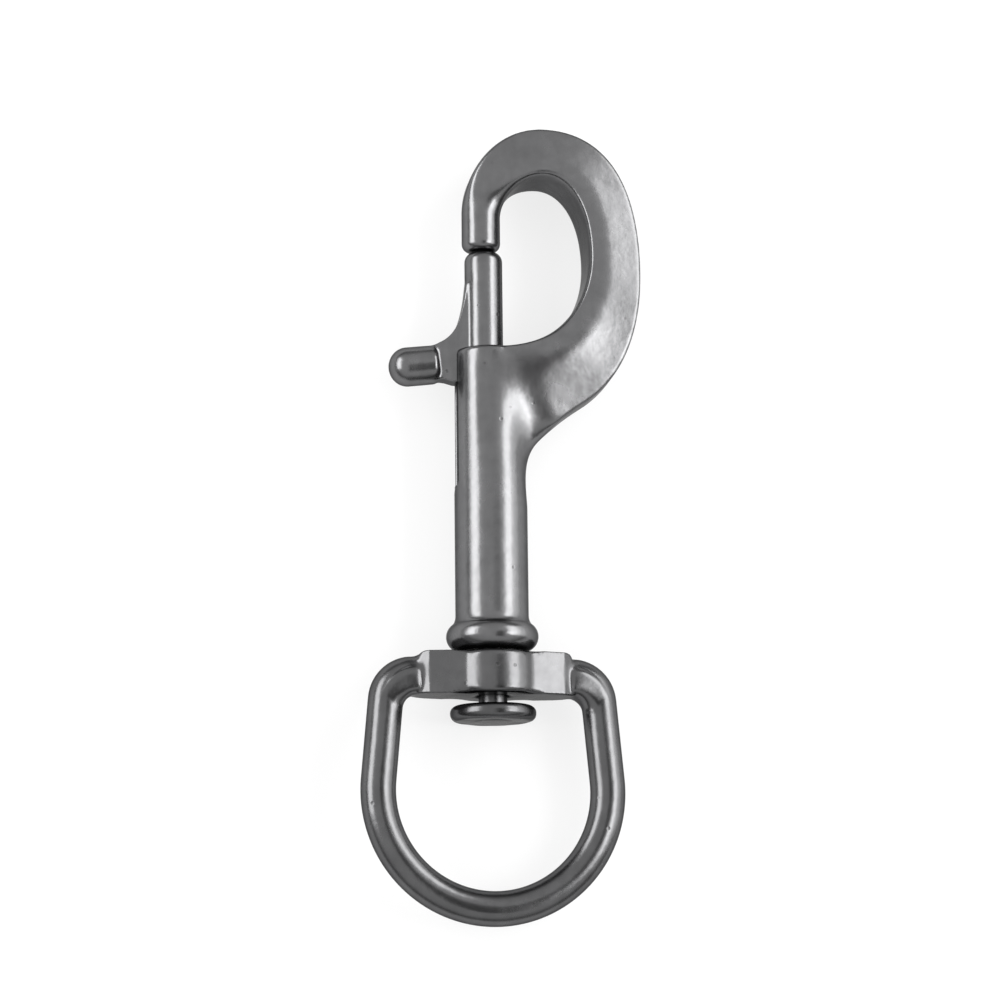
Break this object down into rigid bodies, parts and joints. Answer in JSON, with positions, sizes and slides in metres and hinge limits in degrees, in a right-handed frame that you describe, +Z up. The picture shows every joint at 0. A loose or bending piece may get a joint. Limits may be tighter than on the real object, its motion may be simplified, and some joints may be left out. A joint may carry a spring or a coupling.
{
  "type": "swivel snap hook",
  "caption": "Snap hook with a spring-loaded sliding bolt, thumb knob and a D-shaped swivel eye on a riveted hub, in polished dark metal.",
  "frame": {"origin": "on the barrel's axis, where a strap bears on the inside of the eye's bow", "axes": "+Y up the barrel from the eye to the hook, +X to the side the hook bends to, +Z up from the surface it lies on"},
  "size_m": [0.0378, 0.1068, 0.0122],
  "materials": {
    "dark_nickel_body": "polished dark nickel plate over a casting",
    "dark_nickel_bolt": "polished dark nickel plate over a casting",
    "spring_wire": "drawn spring wire",
    "dark_nickel_rivet": "polished dark nickel plate",
    "dark_nickel_eye": "polished dark nickel plate over a casting"
  },
  "bodies": {
    "hook": {"hook_body": "dark_nickel_body", "swivel_rivet": "dark_nickel_rivet", "spring": "spring_wire"},
    "bolt": {"bolt": "dark_nickel_bolt"},
    "eye": {"swivel_eye": "dark_nickel_eye"}
  },
  "joints": [
    {"name": "bolt_slide", "type": "slide", "parent": "hook", "child": "bolt", "axis": [0, -1, 0], "range_m": [0, 0.0135], "stiffness_N_per_m": 450, "springref_m": -0.009, "deforming": ["spring"]},
    {"name": "eye_swivel", "type": "hinge", "parent": "hook", "child": "eye", "pos_m": [0, 0.0282, 0], "axis": [0, 1, 0], "continuous": true}
  ]
}
